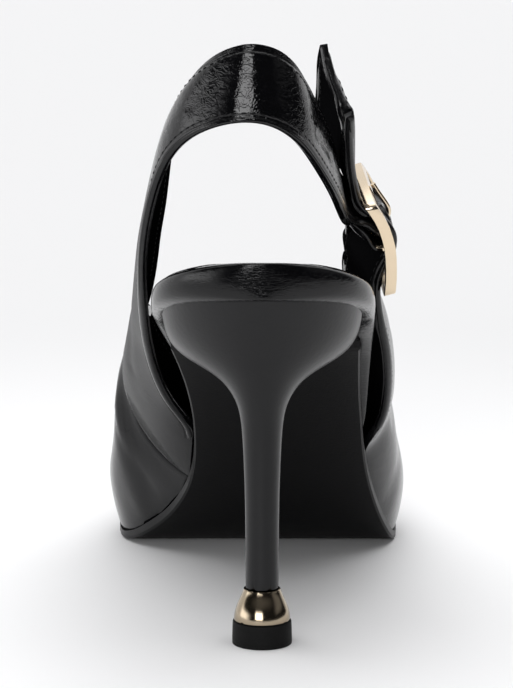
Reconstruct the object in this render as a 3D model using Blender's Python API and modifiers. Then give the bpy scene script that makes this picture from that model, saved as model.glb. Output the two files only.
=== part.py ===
"""Slingback pump for the right foot: slim heel, pointed closed toe, buckled back strap.

X points to the outer side of the foot, Y from the heel to the toe, Z up. The origin is the
centre of the top lift's lower face, on the floor. Tables and sizes are in millimetres, and
MM turns them into metres.
"""
import math
from collections import namedtuple

import bmesh
import bpy
from mathutils import Matrix, Vector

MM = 0.001

# Walls and clearances
UPPER_WALL = 2.0
STRAP_WALL = 2.2
LOOP_WALL = 1.2
SEAT_GAP = 0.3
LAP_GAP = 0.4
# The vamp's lower edge lies this far inside the sole's edge
EDGE_INSET = 0.3
# Up to this station of the sling, and this far down its front, the vamp runs on behind it
LAP_STATION = 6.5
LAP_END = 0.72

# Heel, collar and lift
LIFT_RADIUS = 7.6
LIFT_HEIGHT = 6.0
LIFT_EDGE = 0.35
LIFT_DRAFT = 0.15
COLLAR_FOOT = LIFT_HEIGHT + SEAT_GAP
COLLAR_HEIGHT = 7.9
COLLAR_TOP_RADIUS = 4.65
COLLAR_FOOT_RADIUS = 7.15
STEM_FOOT = COLLAR_FOOT + COLLAR_HEIGHT + SEAT_GAP
BREAST_Y = 32.0

# Sole
SEAT_BACK = -24.2
SEAT_ROUND_START = 8.0
TOE_ROUND_START = 182.0
TOE_Y = 209.0
SOLE_THICK = 2.2
SOLE_SHANK_EXTRA = 0.5
SOLE_CHAMFER = 0.5
INSOLE_FRONT = 203.0
# The insole's section is a rounded block: low powers make its edge blunt and its top flat
INSOLE_SIDE_POWER = 0.35
INSOLE_TOP_POWER = 0.8
# Thickness left at the very back of the padded seat, as a share
SEAT_THIN = 0.75
FULLNESS = 0.84
RING_POINTS = 24

# Buckle, in its own frame: across runs forward, along runs up the strap, out faces outward
BUCKLE_CENTRE = Vector((28.4, 35.0, 99.8))
BUCKLE_ACROSS = Vector((-0.104, 0.964, 0.243))
BUCKLE_ALONG = Vector((-0.2165, -0.2756, 0.937))
FRAME_LENGTH = 26.0
FRAME_WIDTH = 29.0
FRAME_THICK = 2.8
CROSS_BAR = 2.0
SIDE_BAR = 2.6
FRAME_CORNER = 1.6
FRAME_CORNER_STEPS = 4
FRAME_SIDE_STEPS = 8
CENTRE_BAR_RADIUS = 0.8
PRONG_RADIUS = 0.7
PRONG_EYE = CENTRE_BAR_RADIUS + SEAT_GAP + PRONG_RADIUS
SLOT_HALF_WIDTH = 2.6
# How far along the frame the slot for the prong runs, in the strap and in the sling's loop
STRAP_SLOT = (-1.0, 6.4)
LOOP_SLOT = (-9.0, 3.4)
STRAP_HALF_WIDTH = 10.0

# One row across the sole at each y. top_z is the outsole's upper face. The side columns hold
# x at the edge of the outsole and of the insole, and thick is the insole with its padding.
SoleRow = namedtuple("SoleRow", "y top_z sole_in sole_out insole_in insole_out thick")
SOLE = [
    SoleRow(-25, 93.7, -25.5, 25.2, -28.0, 28.2, 9.4),
    SoleRow(0, 85.8, -25.5, 25.2, -28.0, 28.3, 8.0),
    SoleRow(15, 80.4, -25.3, 25.2, -28.0, 28.6, 6.6),
    SoleRow(25, 75.8, -24.6, 25.2, -27.2, 28.8, 5.5),
    SoleRow(35, 69.4, -22.9, 25.3, -25.2, 28.8, 4.6),
    SoleRow(43, 62.9, -21.0, 25.5, -22.6, 28.6, 4.0),
    SoleRow(51, 55.6, -19.4, 25.8, -20.4, 28.3, 3.8),
    SoleRow(60, 46.3, -18.2, 26.6, -18.2, 28.0, 3.5),
    SoleRow(66, 39.6, -18.0, 27.1, -15.2, 27.4, 3.3),
    SoleRow(72, 32.8, -18.3, 27.9, -14.4, 24.8, 3.2),
    SoleRow(80, 23.9, -20.0, 29.6, -14.6, 26.4, 3.0),
    SoleRow(85, 18.3, -22.6, 31.1, -17.2, 27.9, 3.0),
    SoleRow(90, 13.0, -26.0, 32.8, -22.0, 29.6, 3.0),
    SoleRow(96, 7.7, -31.5, 35.0, -27.9, 31.8, 3.0),
    SoleRow(103, 3.6, -36.3, 36.7, -33.1, 33.5, 3.0),
    SoleRow(110, 2.2, -39.2, 37.7, -36.0, 34.5, 3.0),
    SoleRow(122, 2.2, -40.2, 38.0, -37.0, 34.8, 3.0),
    SoleRow(134, 2.2, -38.4, 36.0, -35.2, 32.8, 3.0),
    SoleRow(142, 2.2, -36.2, 33.4, -33.0, 30.2, 3.0),
    SoleRow(155, 2.6, -31.4, 28.2, -28.0, 24.8, 3.0),
    SoleRow(170, 3.8, -25.0, 21.4, -21.4, 17.8, 3.0),
    SoleRow(185, 5.7, -18.6, 14.4, -14.8, 10.6, 3.0),
    SoleRow(197, 7.8, -14.2, 9.2, -10.4, 5.4, 3.0),
    SoleRow(210, 10.6, -11.4, 5.4, -7.6, 1.6, 3.0),
]

# The vamp's ridge ahead of the throat: its x, and its height above the sole's upper face
RidgeRow = namedtuple("RidgeRow", "y x height")
RIDGE = [
    RidgeRow(128, -2.0, 38.8),
    RidgeRow(140, -2.0, 34.4),
    RidgeRow(152, -2.3, 30.5),
    RidgeRow(165, -2.6, 26.6),
    RidgeRow(178, -3.0, 22.6),
    RidgeRow(190, -3.2, 18.6),
    RidgeRow(199, -3.3, 15.2),
    RidgeRow(205, -3.2, 12.0),
    RidgeRow(210, -3.1, 7.6),
]
THROAT_Y = 128.0
LEAD_Y = 143.0
FRONT_YS = [209.0, 208.6, 207.4, 205.2, 202.0, 198.0, 192.0, 184.0, 175.0, 165.0, 154.0, LEAD_Y, 135.0]

# Sections of leather sheets, on their outer face: lower edge, middle and upper edge
Station = namedtuple("Station", "lower middle upper")

# Inner side of the vamp, from the throat back to where the sling's wing laps over it
INNER_SIDE = [
    Station((-39.9, 121, 2.5), (-37.5, 122.5, 30.5), (-9.5, 126, 42.4)),
    Station((-39.4, 113, 2.5), (-40.4, 115.5, 29.6), (-18.6, 121, 46.2)),
    Station((-36.9, 105, 3.4), (-41.4, 108.5, 30.5), (-25.2, 114.3, 53.4)),
    Station((-32.2, 97.5, 6.9), (-41.1, 102, 34), (-29.3, 106, 62.8)),
    Station((-26.6, 91, 12.4), (-39.3, 97, 39.5), (-31.7, 96.3, 70)),
]

# Outer side, from the throat back along the sole, then up the strap's edges to the buckle
OUTER_SIDE = [
    Station((37.6, 121, 2.5), (34.8, 122.5, 30), (6, 126, 42.4)),
    Station((37.5, 113, 2.5), (37, 115, 28.5), (14.5, 119.5, 46)),
    Station((36.5, 104, 3.6), (38, 107, 29), (21, 110, 50.5)),
    Station((34.4, 95, 8.7), (37.9, 98.5, 31.5), (24.4, 101, 56)),
    Station((31.1, 86, 17.5), (37, 89.5, 37), (24.8, 92, 62.5)),
    Station((28.9, 78, 26.4), (35.8, 81.5, 43.5), (23.6, 83.5, 70.5)),
    Station((27.6, 72.3, 32.8), (34.8, 75, 50), (23.6, 76, 78)),
    Station((30.6, 67, 39), (34.7, 70.5, 55.5), (23, 70, 83)),
    Station((32.8, 62.5, 44), (34.4, 65.5, 60.5), (22.7, 64.5, 86.8)),
    Station((33.5, 56, 50.6), (34, 60, 66.5), (22.6, 60, 88.8)),
    Station((33.7, 49, 57.5), (33, 54, 73), (22.5, 56.5, 90.4)),
    Station((33.2, 42.5, 64.1), (31.8, 48.5, 78.3), (22.6, 53.8, 91.6)),
    Station((32.2, 37, 70.5), (30.6, 43.8, 81.8), (22.8, 52, 92.4)),
    Station((30.6, 32.2, 76.8), (29.2, 40.2, 84), (23.1, 50.6, 92.6)),
]

# The frame is bowed: y runs along it, and out is how far its side bars stand out there
BowRow = namedtuple("BowRow", "y out")
FRAME_BOW = [
    BowRow(-13.0, -0.25),
    BowRow(-9.0, 0.95),
    BowRow(-5.0, 1.8),
    BowRow(0.0, 2.5),
    BowRow(4.0, 2.4),
    BowRow(9.0, 1.4),
    BowRow(13.0, -0.15),
]

# The strap through the buckle's frame: place along the frame and how far out its face lies
BarRow = namedtuple("BarRow", "along out")
STRAP_IN_FRAME = [
    BarRow(-5.6, 1.7),
    BarRow(-3.0, 4.1),
    BarRow(0.0, 5.0),
    BarRow(2.6, 4.9),
    BarRow(5.2, 3.8),
    BarRow(7.4, 2.1),
    BarRow(9.3, 0.1),
    BarRow(11.0, -1.5),
    BarRow(13.0, -2.1),
]

# The prong, from where it comes out through the strap
PRONG = [
    BarRow(1.4, 3.1),
    BarRow(2.8, 4.8),
    BarRow(4.6, 5.2),
    BarRow(7.2, 4.3),
    BarRow(10.0, 3.2),
    BarRow(12.3, 2.5),
]

# The strap behind the frame's lower bar, where its front edge leans in: across, along, out
STRAP_ENTRY = [
    Station((-10, -13.6, -2.7), (0.6, -11.4, -3.0), (14, -8, -6.0)),
    Station((-10, -11.2, -2.1), (0.4, -9.4, -2.3), (13.6, -4.6, -5.4)),
    Station((-10, -8.4, -0.6), (0.2, -7.6, -0.6), (11.4, -3.6, -2.6)),
]

# The free tail beyond the frame, standing off outside the sling, with its slanted end
TAIL = [
    Station((24.0, 18.5, 113.4), (21.6, 28.5, 118.6), (19.2, 36.8, 121)),
    Station((22.7, 14, 118.5), (19.8, 23, 124.7), (14.8, 31, 128.3)),
    Station((22.4, 6, 128.5), (19.4, 14.8, 135), (15.2, 22.5, 138.6)),
    Station((22.1, -0.5, 134), (18.8, 7.4, 140), (15.3, 15, 145.4)),
    Station((21.6, -0.8, 135.2), (18, 3, 141.4), (16.1, 6, 150.6)),
]

# The sling: its wing rises from the sole on the inner side, laps over the vamp and narrows
# into the band, which turns round the back of the heel and comes down the outer side
SLING = [
    Station((-18.4, 65.5, 40.5), (-18.9, 72.5, 32.6), (-19.7, 80, 24.3)),
    Station((-21.8, 61.5, 45.3), (-26.5, 74, 37.6), (-25.8, 85, 27.8)),
    Station((-24.8, 57.5, 49.6), (-31.5, 73, 45), (-31.5, 88.7, 33.8)),
    Station((-27.2, 52.5, 55.3), (-34, 70.5, 52.2), (-36, 90.3, 41.5)),
    Station((-28.9, 47, 61.1), (-35.3, 66, 59.5), (-38, 88.5, 50.5)),
    Station((-29.7, 41.5, 66), (-34.8, 60, 66.5), (-37, 82.5, 60)),
    Station((-30.4, 35.5, 71), (-34.5, 52, 73.8), (-34, 72, 69.2)),
    Station((-30.9, 27, 79), (-33.6, 42.5, 82), (-30.4, 58, 79)),
    Station((-31, 16, 88.6), (-32.3, 31, 91), (-28.4, 44, 89.5)),
    Station((-30.6, 6.5, 97.8), (-30.9, 19.5, 101), (-27.2, 31.5, 100.2)),
    Station((-29.5, -1, 106.5), (-29, 10, 110.5), (-25.5, 20.5, 110)),
    Station((-27.3, -8, 116.3), (-26.8, 0, 122), (-23.9, 7, 124.5)),
    Station((-24.3, -13.2, 124.4), (-24, -7, 132), (-21.4, -2.2, 135.3)),
    Station((-19.3, -18.5, 130.4), (-19.6, -14.2, 139.3), (-16.8, -11.5, 144.8)),
    Station((-13.5, -23.1, 133.7), (-14, -19.8, 142.9), (-12, -17.7, 150.1)),
    Station((-6.8, -25.8, 135.6), (-7.2, -24, 144.9), (-7, -21.8, 152.9)),
    Station((-0.5, -26, 135.5), (-1, -24.8, 145.2), (-1.8, -23, 153.8)),
    Station((5, -25, 133.7), (5, -22.8, 143.5), (4.2, -20.9, 152)),
    Station((10, -20.3, 129.5), (10.1, -17.7, 139.2), (8.8, -15.5, 147.2)),
    Station((13.7, -13.3, 123.7), (13.6, -10.2, 132.6), (12, -6.9, 139.9)),
    Station((16.7, -5.4, 118), (16.6, -1.1, 126.5), (15, 3.9, 132.8)),
    Station((19.3, 3.8, 112.2), (19.2, 9, 119.8), (17.6, 14.4, 125.4)),
]
# The sling's turn into the frame: centre, half width vector and face, in the frame's own axes
TurnRow = namedtuple("TurnRow", "along across out tilt half_width")
SLING_TURN = [
    TurnRow(15.4, -8.2, -5.9, 24.0, 9.8),
    TurnRow(11.2, -3.6, -4.5, 14.0, 9.6),
]
# The sling's loop around the centre bar: out over it, round below and back up inside
LOOP = [
    BarRow(7.6, -2.7),
    BarRow(5.6, -1.0),
    BarRow(3.6, 0.8),
    BarRow(1.6, 2.0),
    BarRow(0.0, 2.3),
    BarRow(-1.7, 1.6),
    BarRow(-2.3, 0.0),
    BarRow(-1.7, -1.6),
    BarRow(0.0, -2.4),
    BarRow(2.0, -2.9),
    BarRow(4.6, -4.3),
    BarRow(7.4, -6.4),
]
LOOP_HALF_WIDTH = 9.4

# The heel under its seat: how far each ring hangs below the seat, how much of the seat's
# slope it keeps, its back and front, its half width and how square its front is
HeelRow = namedtuple("HeelRow", "drop slope back front half_width square")
HEEL = [
    HeelRow(0.0, 1.0, -22.3, 32.0, 25.2, 3.4),
    HeelRow(2.6, 1.0, -20.7, 30.5, 24.9, 3.3),
    HeelRow(6.6, 0.95, -17.6, 27.5, 23.8, 3.0),
    HeelRow(10.3, 0.85, -14.6, 23.5, 21.3, 2.7),
    HeelRow(13.6, 0.72, -12.0, 19.0, 17.4, 2.4),
    HeelRow(16.6, 0.55, -9.9, 14.8, 12.7, 2.2),
    HeelRow(19.6, 0.38, -8.2, 11.0, 9.2, 2.0),
    HeelRow(23.1, 0.22, -6.9, 8.0, 6.9, 2.0),
    HeelRow(27.1, 0.1, -5.9, 6.2, 5.4, 2.0),
    HeelRow(35.6, 0.0, -5.0, 5.1, 4.75, 2.0),
    HeelRow(49.6, 0.0, -4.35, 4.35, 4.25, 2.0),
    HeelRow(85.8 - STEM_FOOT, 0.0, -4.2, 4.2, 4.2, 2.0),
]
HEEL_WIDEST = 8.0

# Cells across a sheet, with a narrow middle one that is left open where the prong goes through
COLUMNS = [0.0, 0.08, 0.2, 0.3, 0.4, 0.6, 0.7, 0.8, 0.92, 1.0]


def slope_at(xs, ys, index):
    """Slope of a monotone cubic through the table's points."""
    if index == 0 or index == len(xs) - 1:
        near = 0 if index == 0 else index - 1
        return (ys[near + 1] - ys[near]) / (xs[near + 1] - xs[near])
    before = (ys[index] - ys[index - 1]) / (xs[index] - xs[index - 1])
    after = (ys[index + 1] - ys[index]) / (xs[index + 1] - xs[index])
    if before * after <= 0:
        return 0.0
    return 2 * before * after / (before + after)


def read_table(table, column, y):
    """Value of one column at y, on a monotone cubic through the rows."""
    xs = [row.y for row in table]
    ys = [getattr(row, column) for row in table]
    y = min(max(y, xs[0]), xs[-1])
    index = max(i for i in range(len(xs) - 1) if xs[i] <= y)
    span = xs[index + 1] - xs[index]
    t = (y - xs[index]) / span
    start = slope_at(xs, ys, index) * span
    end = slope_at(xs, ys, index + 1) * span
    return (
        ys[index] * (1 + 2 * t) * (1 - t) ** 2
        + start * t * (1 - t) ** 2
        + ys[index + 1] * t * t * (3 - 2 * t)
        + end * t * t * (t - 1)
    )


def sole_top(y):
    return read_table(SOLE, "top_z", y)


def round_end(y, start, end):
    """1 up to start, then a quarter ellipse down to 0 at end."""
    t = (y - start) / (end - start)
    if t <= 0:
        return 1.0
    return math.sqrt(max(0.0, 1 - t * t))


def edges_at(y, inner_column, outer_column, back, front):
    """x of both edges at y, rounded off at the seat's back and at the toe."""
    inner = read_table(SOLE, inner_column, y)
    outer = read_table(SOLE, outer_column, y)
    centre = (inner + outer) / 2
    half = (outer - inner) / 2
    half *= round_end(-y, -SEAT_ROUND_START, -back) * round_end(y, TOE_ROUND_START, front)
    return centre - half, centre + half


def make_material(name, color, roughness, metallic):
    material = bpy.data.materials.new(name)
    material.use_nodes = True
    shader = material.node_tree.nodes["Principled BSDF"]
    shader.inputs["Base Color"].default_value = (*color, 1)
    shader.inputs["Roughness"].default_value = roughness
    shader.inputs["Metallic"].default_value = metallic
    return material


def finish_object(name, bm, material, collection):
    """Make an object of a bmesh that was built in millimetres."""
    bmesh.ops.remove_doubles(bm, verts=bm.verts, dist=0.01)
    bmesh.ops.scale(bm, verts=bm.verts, vec=(MM, MM, MM))
    mesh = bpy.data.meshes.new(name)
    bm.to_mesh(mesh)
    bm.free()
    mesh.materials.append(material)
    mesh.shade_smooth()
    mesh.set_sharp_from_angle(angle=math.radians(40))
    made = bpy.data.objects.new(name, mesh)
    collection.objects.link(made)
    return made


def join_rings(bm, rings):
    """Quads between closed rings of the same length. Returns the vertices, ring by ring."""
    made = [[bm.verts.new(point) for point in ring] for ring in rings]
    count = len(rings[0])
    for near, far in zip(made, made[1:]):
        for i in range(count):
            bm.faces.new((near[i], near[(i + 1) % count], far[(i + 1) % count], far[i]))
    return made


def close_body(bm):
    """Merge coinciding points and turn all faces outward."""
    bmesh.ops.remove_doubles(bm, verts=bm.verts, dist=0.01)
    bmesh.ops.recalc_face_normals(bm, faces=bm.faces)


def along_curve(points, position):
    """Point on a smooth curve through the points, at a position counted in points."""
    index = min(int(position), len(points) - 2)
    t = position - index
    p1 = Vector(points[index])
    p2 = Vector(points[index + 1])
    p0 = Vector(points[index - 1]) if index else p1 * 2 - p2
    p3 = Vector(points[index + 2]) if index + 2 < len(points) else p2 * 2 - p1
    return 0.5 * (
        2 * p1
        + (p2 - p0) * t
        + (2 * p0 - 5 * p1 + 4 * p2 - p3) * t * t
        + (3 * p1 - p0 - 3 * p2 + p3) * t ** 3
    )


def across_sheet(lower, middle, upper, v):
    """Point on the parabola through the three points, v from 0 at lower to 1 at upper."""
    return (
        Vector(lower) * (1 - v) * (1 - 2 * v)
        + Vector(middle) * 4 * v * (1 - v)
        + Vector(upper) * v * (2 * v - 1)
    )


def sheet_point(stations, position, v):
    lower = along_curve([s.lower for s in stations], position)
    middle = along_curve([s.middle for s in stations], position)
    upper = along_curve([s.upper for s in stations], position)
    return across_sheet(lower, middle, upper, v)


def sheet_normal(stations, position, v):
    """Outward normal of a sheet whose stations run up the inner side."""
    step = 0.02
    back = max(position - step, 0)
    ahead = min(position + step, len(stations) - 1.001)
    run = sheet_point(stations, ahead, v) - sheet_point(stations, back, v)
    above = sheet_point(stations, position, min(v + step, 1))
    rise = above - sheet_point(stations, position, max(v - step, 0))
    return run.cross(rise).normalized()


def buckle_axes():
    across = BUCKLE_ACROSS.normalized()
    out = across.cross(BUCKLE_ALONG).normalized()
    return across, out.cross(across), out


def buckle_point(across, along, out):
    """Point given in the frame's own axes."""
    across_axis, along_axis, out_axis = buckle_axes()
    return BUCKLE_CENTRE + across_axis * across + along_axis * along + out_axis * out


def frame_stations(rows, half_width):
    """Straight sections between the frame's side bars."""
    return [
        Station(
            tuple(buckle_point(-half_width, row.along, row.out)),
            tuple(buckle_point(0, row.along, row.out)),
            tuple(buckle_point(half_width, row.along, row.out)),
        )
        for row in rows
    ]


def turn_stations():
    """The sling's sections on its way into the frame, each turned by its own tilt."""
    stations = []
    for row in SLING_TURN:
        across = math.cos(math.radians(row.tilt)) * row.half_width
        along = math.sin(math.radians(row.tilt)) * row.half_width
        stations.append(
            Station(
                tuple(buckle_point(row.across - across, row.along - along, row.out)),
                tuple(buckle_point(row.across, row.along, row.out + 0.4)),
                tuple(buckle_point(row.across + across, row.along + along, row.out)),
            )
        )
    return stations


def in_prong_slot(point, low, high):
    """Whether a point of a sheet lies in the slot that the prong passes through."""
    across_axis, along_axis, out_axis = buckle_axes()
    local = point - BUCKLE_CENTRE
    if local.length > FRAME_LENGTH / 2:
        return False
    return abs(local.dot(across_axis)) < SLOT_HALF_WIDTH and low < local.dot(along_axis) < high


def add_sheet(bm, rows, flip, slot=None):
    """Open sheet of quads between rows of points. A slot holds the range that stays open."""
    made = [[bm.verts.new(point) for point in row] for row in rows]
    for near, far in zip(made, made[1:]):
        for i in range(len(near) - 1):
            corners = (near[i], far[i], far[i + 1], near[i + 1])
            centre = sum((corner.co for corner in corners), Vector()) / 4
            if slot and in_prong_slot(centre, *slot):
                continue
            bm.faces.new(corners if not flip else corners[::-1])
    return made


def sheet_rows(stations, first, last, steps):
    """Rows of points from one station to another, with steps rows to each station."""
    count = round((last - first) * steps)
    positions = [first + i / steps for i in range(count + 1)]
    return [[sheet_point(stations, p, v) for v in COLUMNS] for p in positions]


def front_station(y, side):
    """Half section of the closed front of the vamp, from the sole's edge to the ridge."""
    inner, outer = edges_at(y, "sole_in", "sole_out", SEAT_BACK, TOE_Y)
    edge = inner + EDGE_INSET if side == "inner" else outer - EDGE_INSET
    if y >= TOE_Y:
        edge = (inner + outer) / 2
    foot = sole_top(y) + SEAT_GAP
    ridge_x = read_table(RIDGE, "x", y)
    if y >= TOE_Y:
        ridge_x = edge
    ridge_z = sole_top(y) + read_table(RIDGE, "height", y)
    shoulder_x = ridge_x + FULLNESS * (edge - ridge_x)
    shoulder_z = (foot + 3 * ridge_z) / 4
    return Station((edge, y, foot), (shoulder_x, y, shoulder_z), (ridge_x, y, ridge_z))


def front_rows(side):
    rows = []
    for y in FRONT_YS:
        station = front_station(y, side)
        rows.append([across_sheet(*station, v) for v in COLUMNS])
    return rows


def throat_stations(side, other_side):
    """Section at the throat, after one that turns the topline smoothly across the ridge."""
    ahead = front_station(LEAD_Y, side)
    lead = Station(ahead.lower, ahead.middle, other_side[0].upper)
    return [lead, front_station(THROAT_Y, side)]


def lap_rows():
    """Rows of the vamp's inner side behind the sling's wing, set in by both walls."""
    depth = STRAP_WALL + LAP_GAP
    rows = []
    for wing_v in (1.0, LAP_END):
        row = []
        for v in COLUMNS:
            position = v * LAP_STATION
            face = sheet_point(SLING, position, wing_v)
            row.append(face - sheet_normal(SLING, position, wing_v) * depth)
        rows.append(row)
    return rows


def add_wall(made, wall, group=None, thinnest=1.0):
    """Turn an open outer face into a wall of leather that grows inward."""
    solid = made.modifiers.new("Wall", "SOLIDIFY")
    solid.thickness = wall * MM
    solid.offset = -1
    solid.use_even_offset = True
    solid.use_rim = True
    if group:
        solid.vertex_group = group
        solid.thickness_vertex_group = thinnest


def make_vamp(material, collection):
    bm = bmesh.new()
    inner = throat_stations("inner", OUTER_SIDE) + INNER_SIDE
    rows = front_rows("inner") + sheet_rows(inner, 1, len(inner) - 1, 2) + lap_rows()
    add_sheet(bm, rows, flip=False)
    throat = throat_stations("outer", INNER_SIDE)
    entry = [Station(*(tuple(buckle_point(*point)) for point in row)) for row in STRAP_ENTRY]
    outer = throat + OUTER_SIDE + entry + frame_stations(STRAP_IN_FRAME, STRAP_HALF_WIDTH) + TAIL
    rows = front_rows("outer") + sheet_rows(outer, 1, len(outer) - 1, 2)
    add_sheet(bm, rows, flip=True, slot=STRAP_SLOT)
    made = finish_object("vamp", bm, material, collection)
    add_wall(made, UPPER_WALL)
    return made


def make_sling(material, collection):
    bm = bmesh.new()
    layer = bm.verts.layers.deform.verify()
    loop = frame_stations(LOOP, LOOP_HALF_WIDTH)
    stations = SLING + turn_stations() + loop
    rows = sheet_rows(stations, 0, len(stations) - 1, 2)
    sheet = add_sheet(bm, rows, flip=False, slot=LOOP_SLOT)
    thin_from = 2 * (len(stations) - len(loop) - 1)
    for number, row in enumerate(sheet):
        weight = min(1.0, max(0.0, (thin_from + 2 - number) / 4))
        for vert in row:
            vert[layer][0] = weight
    made = finish_object("sling_strap", bm, material, collection)
    made.vertex_groups.new(name="full_wall")
    add_wall(made, STRAP_WALL, "full_wall", LOOP_WALL / STRAP_WALL)
    return made


def make_outsole(material, collection):
    ys = [BREAST_Y + 0.4, 36, 40, 44, 48, 52, 56, 60, 64, 68, 72, 76, 80, 84, 88, 92, 96, 100, 104]
    ys += [107, 110, 114, 118, 124, 130, 136, 142, 148, 156, 164, 172, 180, 188, 194, 199, 203]
    ys += [206, 208, TOE_Y]
    rings = []
    for y in ys:
        inner, outer = edges_at(y, "sole_in", "sole_out", SEAT_BACK, TOE_Y)
        top = sole_top(y)
        steep = min(1.0, max(0.0, (106 - y) / 12))
        bottom = top - SOLE_THICK - SOLE_SHANK_EXTRA * steep
        centre = (inner + outer) / 2
        half = (outer - inner) / 2
        chamfer = min(SOLE_CHAMFER, half)
        ring = [(centre + half * f, y, top) for f in (-1, -0.6, 0, 0.6, 1)]
        ring.append((outer, y, bottom + SOLE_CHAMFER))
        flat = half - chamfer
        ring += [(centre + flat * f, y, bottom) for f in (1, 0.6, 0, -0.6, -1)]
        ring.append((inner, y, bottom + SOLE_CHAMFER))
        rings.append(ring)
    bm = bmesh.new()
    made = join_rings(bm, rings)
    bm.faces.new(made[0])
    bm.faces.new(made[-1][::-1])
    close_body(bm)
    return finish_object("outsole", bm, material, collection)


def make_insole(material, collection):
    ys = [SEAT_BACK, -23.9, -23, -21, -18, -14, -8, 0, 8, 16, 24, 32, 39, 45, 51, 56, 60, 63, 66]
    ys += [69, 72, 76, 80, 85, 90, 96, 102, 108, 116, 124, 132, 140, 150, 160, 170, 180, 188, 194]
    ys += [198, 201, 202.4, INSOLE_FRONT]
    rings = []
    for y in ys:
        inner, outer = edges_at(y, "insole_in", "insole_out", SEAT_BACK, INSOLE_FRONT)
        centre = (inner + outer) / 2
        half = (outer - inner) / 2
        back = round_end(-y, -SEAT_ROUND_START, -SEAT_BACK)
        thick = read_table(SOLE, "thick", y) * (SEAT_THIN + (1 - SEAT_THIN) * back)
        bottom = sole_top(y) + SEAT_GAP
        ring = []
        for i in range(RING_POINTS):
            angle = 2 * math.pi * (i + 0.5) / RING_POINTS
            side = math.copysign(abs(math.cos(angle)) ** INSOLE_SIDE_POWER, math.cos(angle))
            rise = math.copysign(abs(math.sin(angle)) ** INSOLE_TOP_POWER, math.sin(angle))
            ring.append((centre + half * side, y, bottom + thick * (1 + rise) / 2))
        rings.append(ring)
    bm = bmesh.new()
    made = join_rings(bm, rings)
    bm.faces.new(made[0])
    bm.faces.new(made[-1][::-1])
    close_body(bm)
    return finish_object("insole", bm, material, collection)


def heel_ring(row, scale):
    """One ring of the heel, drawn in to scale about the middle of its seat."""
    widest = HEEL_WIDEST * row.slope
    ring = []
    for i in range(RING_POINTS):
        angle = 2 * math.pi * i / RING_POINTS
        sine = math.sin(angle)
        power = 2 / (row.square if sine > 0 else 2.0)
        reach = row.front - widest if sine > 0 else widest - row.back
        x = row.half_width * math.copysign(abs(math.cos(angle)) ** power, math.cos(angle))
        y = widest + reach * math.copysign(abs(sine) ** power, sine) * scale
        z = sole_top(0) - row.drop + row.slope * (sole_top(y) - sole_top(0))
        ring.append((x * scale, y, z))
    return ring


def make_heel(material, collection):
    bm = bmesh.new()
    seat = [heel_ring(HEEL[0], scale) for scale in (0.02, 0.35, 0.7)]
    made = join_rings(bm, seat + [heel_ring(row, 1.0) for row in HEEL])
    bm.faces.new(made[0])
    bm.faces.new(made[-1][::-1])
    close_body(bm)
    return finish_object("heel", bm, material, collection)


def make_collar(material, collection):
    """Turned bell collar at the foot of the stem."""
    profile = [(0, COLLAR_FOOT + COLLAR_HEIGHT)]
    steps = 8
    for i in range(steps + 1):
        t = i / steps
        bulge = math.sin(t * math.pi / 2) ** 1.25
        radius = COLLAR_TOP_RADIUS + (COLLAR_FOOT_RADIUS - COLLAR_TOP_RADIUS) * bulge
        profile.append((radius, COLLAR_FOOT + COLLAR_HEIGHT * (1 - t)))
    profile.append((0, COLLAR_FOOT))
    bm = bmesh.new()
    points = [bm.verts.new((x, 0, z)) for x, z in profile]
    for near, far in zip(points, points[1:]):
        bm.edges.new((near, far))
    made = finish_object("heel_collar", bm, material, collection)
    screw = made.modifiers.new("Turn", "SCREW")
    screw.steps = 32
    screw.render_steps = 32
    screw.use_merge_vertices = True
    screw.merge_threshold = 0.00001
    return made


def make_lift(material, collection):
    bm = bmesh.new()
    bmesh.ops.create_cone(
        bm,
        cap_ends=True,
        segments=40,
        radius1=LIFT_RADIUS,
        radius2=LIFT_RADIUS - LIFT_DRAFT,
        depth=LIFT_HEIGHT,
        matrix=Matrix.Translation((0, 0, LIFT_HEIGHT / 2)),
    )
    made = finish_object("top_lift", bm, material, collection)
    bevel = made.modifiers.new("Edge", "BEVEL")
    bevel.width = LIFT_EDGE * MM
    bevel.segments = 2
    bevel.limit_method = "ANGLE"
    return made


def frame_outline(half_width, half_length, corner):
    """Outline points: each corner as a quarter circle, with steps along both long sides."""
    points = []
    straight = half_length - corner
    for quarter in range(4):
        side_x = 1 if quarter in (0, 3) else -1
        side_y = 1 if quarter in (0, 1) else -1
        for i in range(FRAME_CORNER_STEPS + 1):
            angle = math.pi / 2 * (quarter + i / FRAME_CORNER_STEPS)
            x = side_x * (half_width - corner) + corner * math.cos(angle)
            y = side_y * straight + corner * math.sin(angle)
            points.append((x, y))
        if quarter in (1, 3):
            for i in range(1, FRAME_SIDE_STEPS):
                y = side_y * straight * (1 - 2 * i / FRAME_SIDE_STEPS)
                points.append((side_x * half_width, y))
    return points


def make_frame(material, collection):
    """Bowed ring of flat section."""
    rings = []
    half = FRAME_THICK / 2
    outside = frame_outline(FRAME_WIDTH / 2, FRAME_LENGTH / 2, FRAME_CORNER)
    inside_corner = FRAME_CORNER * 0.6
    inside = frame_outline(FRAME_WIDTH / 2 - SIDE_BAR, FRAME_LENGTH / 2 - CROSS_BAR, inside_corner)
    for points, rise in ((outside, -half), (outside, half), (inside, half), (inside, -half)):
        ring = []
        for x, y in points:
            ring.append(buckle_point(x, y, read_table(FRAME_BOW, "out", y) + rise))
        rings.append(ring)
    bm = bmesh.new()
    join_rings(bm, [*rings, rings[0]])
    bmesh.ops.remove_doubles(bm, verts=bm.verts, dist=0.001)
    bmesh.ops.recalc_face_normals(bm, faces=bm.faces)
    return finish_object("buckle_frame", bm, material, collection)


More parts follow.
